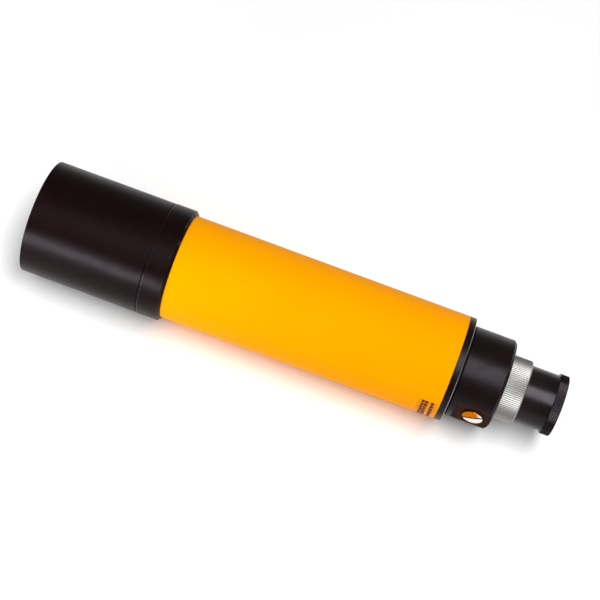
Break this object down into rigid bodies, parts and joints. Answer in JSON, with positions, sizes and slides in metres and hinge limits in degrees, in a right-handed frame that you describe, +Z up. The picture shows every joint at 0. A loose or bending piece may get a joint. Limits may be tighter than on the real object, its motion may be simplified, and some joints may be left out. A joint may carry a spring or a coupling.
{
  "type": "straight-through finder telescope",
  "caption": "Small refracting finder telescope: push-fit dew shield, achromatic objective, yellow tube, helical focuser with a knurled ring, built-in eyepiece and a coin-slotted lock screw.",
  "frame": {"origin": "under the middle of the telescope's length, on the surface that it lies on; the optical axis is 31.65 mm above it", "axes": "+X runs along the optical axis from the dew shield to the eyepiece, +Z is up, and the milled pad with the lock screw faces -Y"},
  "size_m": [0.2986, 0.0632, 0.0633],
  "materials": {
    "black_anodised": "satin black anodised aluminium with a slightly warm tone",
    "matte_black": "dead-flat black paint inside the optical path",
    "yellow_enamel": "smooth warm yellow powder coat with a soft sheen",
    "bare_aluminium": "bright turned and knurled aluminium",
    "polished_chrome": "mirror-polished chrome plate",
    "brass": "turned brass",
    "coated_glass": "optical glass with an anti-reflection coating",
    "felt": "dark felt band",
    "seal_rubber": "black rubber",
    "nylon": "natural nylon",
    "fibre": "dark vulcanised fibre",
    "label_film": "thin amber film label"
  },
  "bodies": {
    "telescope_body": {"objective_cell": "black_anodised", "shield_felt": "felt", "lens_retainer": "matte_black", "crown_lens": "coated_glass", "lens_spacer": "bare_aluminium", "flint_lens": "coated_glass", "main_tube": "yellow_enamel", "front_baffle": "matte_black", "rear_baffle": "matte_black", "spec_label": "label_film", "tube_end_ring": "black_anodised", "groove_seal": "seal_rubber", "rear_housing": "black_anodised", "thrust_washer": "nylon", "nut_retainer": "black_anodised", "guide_key": "brass"},
    "shield": {"dew_shield": "black_anodised"},
    "focus_ring": {"focus_nut": "brass", "focus_grip": "bare_aluminium"},
    "eyepiece_tube": {"draw_tube": "black_anodised", "draw_stop": "brass", "field_stop": "matte_black", "reticle": "coated_glass", "reticle_spacer": "matte_black", "field_lens": "coated_glass", "eyepiece_spacer": "matte_black", "eye_lens": "coated_glass", "eye_ring": "black_anodised"},
    "screw_washer": {"lock_washer": "fibre"},
    "screw": {"lock_screw": "polished_chrome"}
  },
  "joints": [
    {"name": "shield_slide", "type": "slide", "parent": "telescope_body", "child": "shield", "axis": [-1, 0, 0], "range_m": [0, 0.012]},
    {"name": "focus_turn", "type": "hinge", "parent": "telescope_body", "child": "focus_ring", "pos_m": [0.12075, 0, 0.03165], "axis": [1, 0, 0], "range_deg": [-240, 180]},
    {"name": "focus_travel", "type": "slide", "parent": "telescope_body", "child": "eyepiece_tube", "axis": [1, 0, 0], "range_m": [-0.008, 0.006]},
    {"name": "screw_travel", "type": "slide", "parent": "telescope_body", "child": "screw_washer", "axis": [0, -1, 0], "range_m": [0, 0.002]},
    {"name": "screw_turn", "type": "hinge", "parent": "screw_washer", "child": "screw", "pos_m": [0.10695, -0.0245, 0.03165], "axis": [0, -1, 0], "range_deg": [0, 720]}
  ],
  "couplings": [
    {"joint": "focus_turn", "follows": "focus_travel", "rad_per_m": 523.6},
    {"joint": "screw_turn", "follows": "screw_travel", "rad_per_m": 6283.2}
  ]
}
